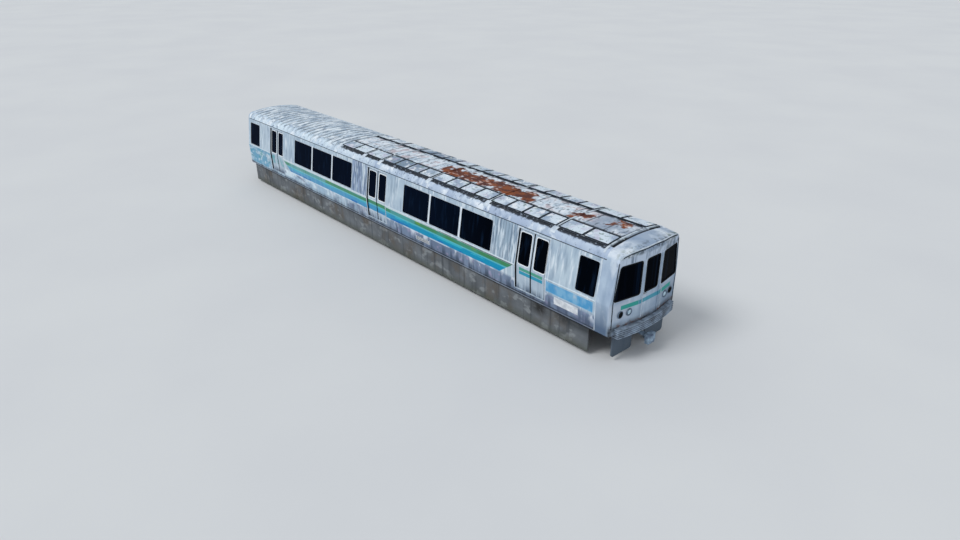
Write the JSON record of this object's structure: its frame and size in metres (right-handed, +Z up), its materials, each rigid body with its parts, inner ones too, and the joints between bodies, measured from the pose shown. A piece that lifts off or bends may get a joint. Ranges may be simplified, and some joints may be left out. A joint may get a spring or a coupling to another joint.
{
  "type": "metro car",
  "caption": "Rapid transit metro car with a bowed cab end, sliding double doors, swivelling bogies and skirting boards.",
  "frame": {"origin": "middle of the car's plan, at the lowest points of the wheel flanges", "axes": "+X forward to the cab end, +Y to the left, +Z up"},
  "size_m": [23.3, 3.11, 3.4769],
  "materials": {
    "body_skin": "satin",
    "roof_skin": "satin",
    "roof_lid": "satin",
    "mask_paint": "satin",
    "window_glass": "gloss",
    "door_leaf": "satin",
    "under_steel": "matt",
    "floor_cover": "matt",
    "bumper_steel": "matt",
    "coupler_steel": "matt",
    "skirt_board": "matt",
    "lamp_shell": "gloss",
    "seat_shell": "satin",
    "pole_steel": "satin",
    "cab_lining": "matt",
    "bogie_steel": "matt",
    "spring_rubber": "matt",
    "wheel_steel": "worn"
  },
  "bodies": {
    "car_body": {"air_tanks": "under_steel", "anticlimbers": "bumper_steel", "body_glass": "window_glass", "cab_desk": "cab_lining", "cab_partition": "cab_lining", "couplers": "coupler_steel", "end_lamps": "lamp_shell", "equipment_cases": "under_steel", "floor": "floor_cover", "front_end": "mask_paint", "grab_poles": "pole_steel", "rear_end": "body_skin", "resistor_banks": "under_steel", "roof": "roof_skin", "roof_coves": "roof_skin", "roof_panels": "roof_lid", "seats": "seat_shell", "side_wall_left": "body_skin", "side_wall_right": "body_skin", "skirt_left": "skirt_board", "skirt_right": "skirt_board", "underframe": "under_steel"},
    "end_door_front": {"end_door_front": "mask_paint"},
    "end_door_rear": {"end_door_rear": "door_leaf"},
    "door_right_rear_fore": {"door_right_rear_fore": "door_leaf"},
    "door_right_rear_aft": {"door_right_rear_aft": "door_leaf"},
    "door_right_middle_fore": {"door_right_middle_fore": "door_leaf"},
    "door_right_middle_aft": {"door_right_middle_aft": "door_leaf"},
    "door_right_front_fore": {"door_right_front_fore": "door_leaf"},
    "door_right_front_aft": {"door_right_front_aft": "door_leaf"},
    "door_left_rear_fore": {"door_left_rear_fore": "door_leaf"},
    "door_left_rear_aft": {"door_left_rear_aft": "door_leaf"},
    "door_left_middle_fore": {"door_left_middle_fore": "door_leaf"},
    "door_left_middle_aft": {"door_left_middle_aft": "door_leaf"},
    "door_left_front_fore": {"door_left_front_fore": "door_leaf"},
    "door_left_front_aft": {"door_left_front_aft": "door_leaf"},
    "bogie_front": {"bogie_frame_front": "bogie_steel", "bogie_springs_front": "spring_rubber", "bogie_drives_front": "bogie_steel", "bogie_shoes_front": "bogie_steel"},
    "wheelset_front_fore": {"wheelset_front_fore": "wheel_steel"},
    "wheelset_front_aft": {"wheelset_front_aft": "wheel_steel"},
    "bogie_rear": {"bogie_frame_rear": "bogie_steel", "bogie_springs_rear": "spring_rubber", "bogie_drives_rear": "bogie_steel", "bogie_shoes_rear": "bogie_steel"},
    "wheelset_rear_fore": {"wheelset_rear_fore": "wheel_steel"},
    "wheelset_rear_aft": {"wheelset_rear_aft": "wheel_steel"}
  },
  "joints": [
    {"name": "end_door_front_swing", "type": "hinge", "parent": "car_body", "child": "end_door_front", "pos_m": [11.286, 0.38, 2.075], "axis": [0, 0, -1], "range_deg": [0, 85]},
    {"name": "end_door_rear_swing", "type": "hinge", "parent": "car_body", "child": "end_door_rear", "pos_m": [-11.02, 0.38, 2.075], "axis": [0, 0, 1], "range_deg": [0, 85]},
    {"name": "door_right_rear_fore_slide", "type": "slide", "parent": "car_body", "child": "door_right_rear_fore", "axis": [1, 0, 0], "range_m": [0, 0.61]},
    {"name": "door_right_rear_aft_slide", "type": "slide", "parent": "car_body", "child": "door_right_rear_aft", "axis": [-1, 0, 0], "range_m": [0, 0.61]},
    {"name": "door_right_middle_fore_slide", "type": "slide", "parent": "car_body", "child": "door_right_middle_fore", "axis": [1, 0, 0], "range_m": [0, 0.61]},
    {"name": "door_right_middle_aft_slide", "type": "slide", "parent": "car_body", "child": "door_right_middle_aft", "axis": [-1, 0, 0], "range_m": [0, 0.61]},
    {"name": "door_right_front_fore_slide", "type": "slide", "parent": "car_body", "child": "door_right_front_fore", "axis": [1, 0, 0], "range_m": [0, 0.61]},
    {"name": "door_right_front_aft_slide", "type": "slide", "parent": "car_body", "child": "door_right_front_aft", "axis": [-1, 0, 0], "range_m": [0, 0.61]},
    {"name": "door_left_rear_fore_slide", "type": "slide", "parent": "car_body", "child": "door_left_rear_fore", "axis": [1, 0, 0], "range_m": [0, 0.61]},
    {"name": "door_left_rear_aft_slide", "type": "slide", "parent": "car_body", "child": "door_left_rear_aft", "axis": [-1, 0, 0], "range_m": [0, 0.61]},
    {"name": "door_left_middle_fore_slide", "type": "slide", "parent": "car_body", "child": "door_left_middle_fore", "axis": [1, 0, 0], "range_m": [0, 0.61]},
    {"name": "door_left_middle_aft_slide", "type": "slide", "parent": "car_body", "child": "door_left_middle_aft", "axis": [-1, 0, 0], "range_m": [0, 0.61]},
    {"name": "door_left_front_fore_slide", "type": "slide", "parent": "car_body", "child": "door_left_front_fore", "axis": [1, 0, 0], "range_m": [0, 0.61]},
    {"name": "door_left_front_aft_slide", "type": "slide", "parent": "car_body", "child": "door_left_front_aft", "axis": [-1, 0, 0], "range_m": [0, 0.61]},
    {"name": "bogie_front_swivel", "type": "hinge", "parent": "car_body", "child": "bogie_front", "pos_m": [8.23, 0, 0.86], "axis": [0, 0, 1], "range_deg": [-6, 6]},
    {"name": "wheelset_front_fore_spin", "type": "hinge", "parent": "bogie_front", "child": "wheelset_front_fore", "pos_m": [9.28, 0, 0.3836], "axis": [0, 1, 0], "continuous": true},
    {"name": "wheelset_front_aft_spin", "type": "hinge", "parent": "bogie_front", "child": "wheelset_front_aft", "pos_m": [7.18, 0, 0.3836], "axis": [0, 1, 0], "continuous": true},
    {"name": "bogie_rear_swivel", "type": "hinge", "parent": "car_body", "child": "bogie_rear", "pos_m": [-8.23, 0, 0.86], "axis": [0, 0, 1], "range_deg": [-6, 6]},
    {"name": "wheelset_rear_fore_spin", "type": "hinge", "parent": "bogie_rear", "child": "wheelset_rear_fore", "pos_m": [-7.18, 0, 0.3836], "axis": [0, 1, 0], "continuous": true},
    {"name": "wheelset_rear_aft_spin", "type": "hinge", "parent": "bogie_rear", "child": "wheelset_rear_aft", "pos_m": [-9.28, 0, 0.3836], "axis": [0, 1, 0], "continuous": true}
  ],
  "couplings": [
    {"joint": "door_right_rear_aft_slide", "follows": "door_right_rear_fore_slide", "ratio": 1},
    {"joint": "door_right_middle_aft_slide", "follows": "door_right_middle_fore_slide", "ratio": 1},
    {"joint": "door_right_front_aft_slide", "follows": "door_right_front_fore_slide", "ratio": 1},
    {"joint": "door_left_rear_aft_slide", "follows": "door_left_rear_fore_slide", "ratio": 1},
    {"joint": "door_left_middle_aft_slide", "follows": "door_left_middle_fore_slide", "ratio": 1},
    {"joint": "door_left_front_aft_slide", "follows": "door_left_front_fore_slide", "ratio": 1}
  ]
}
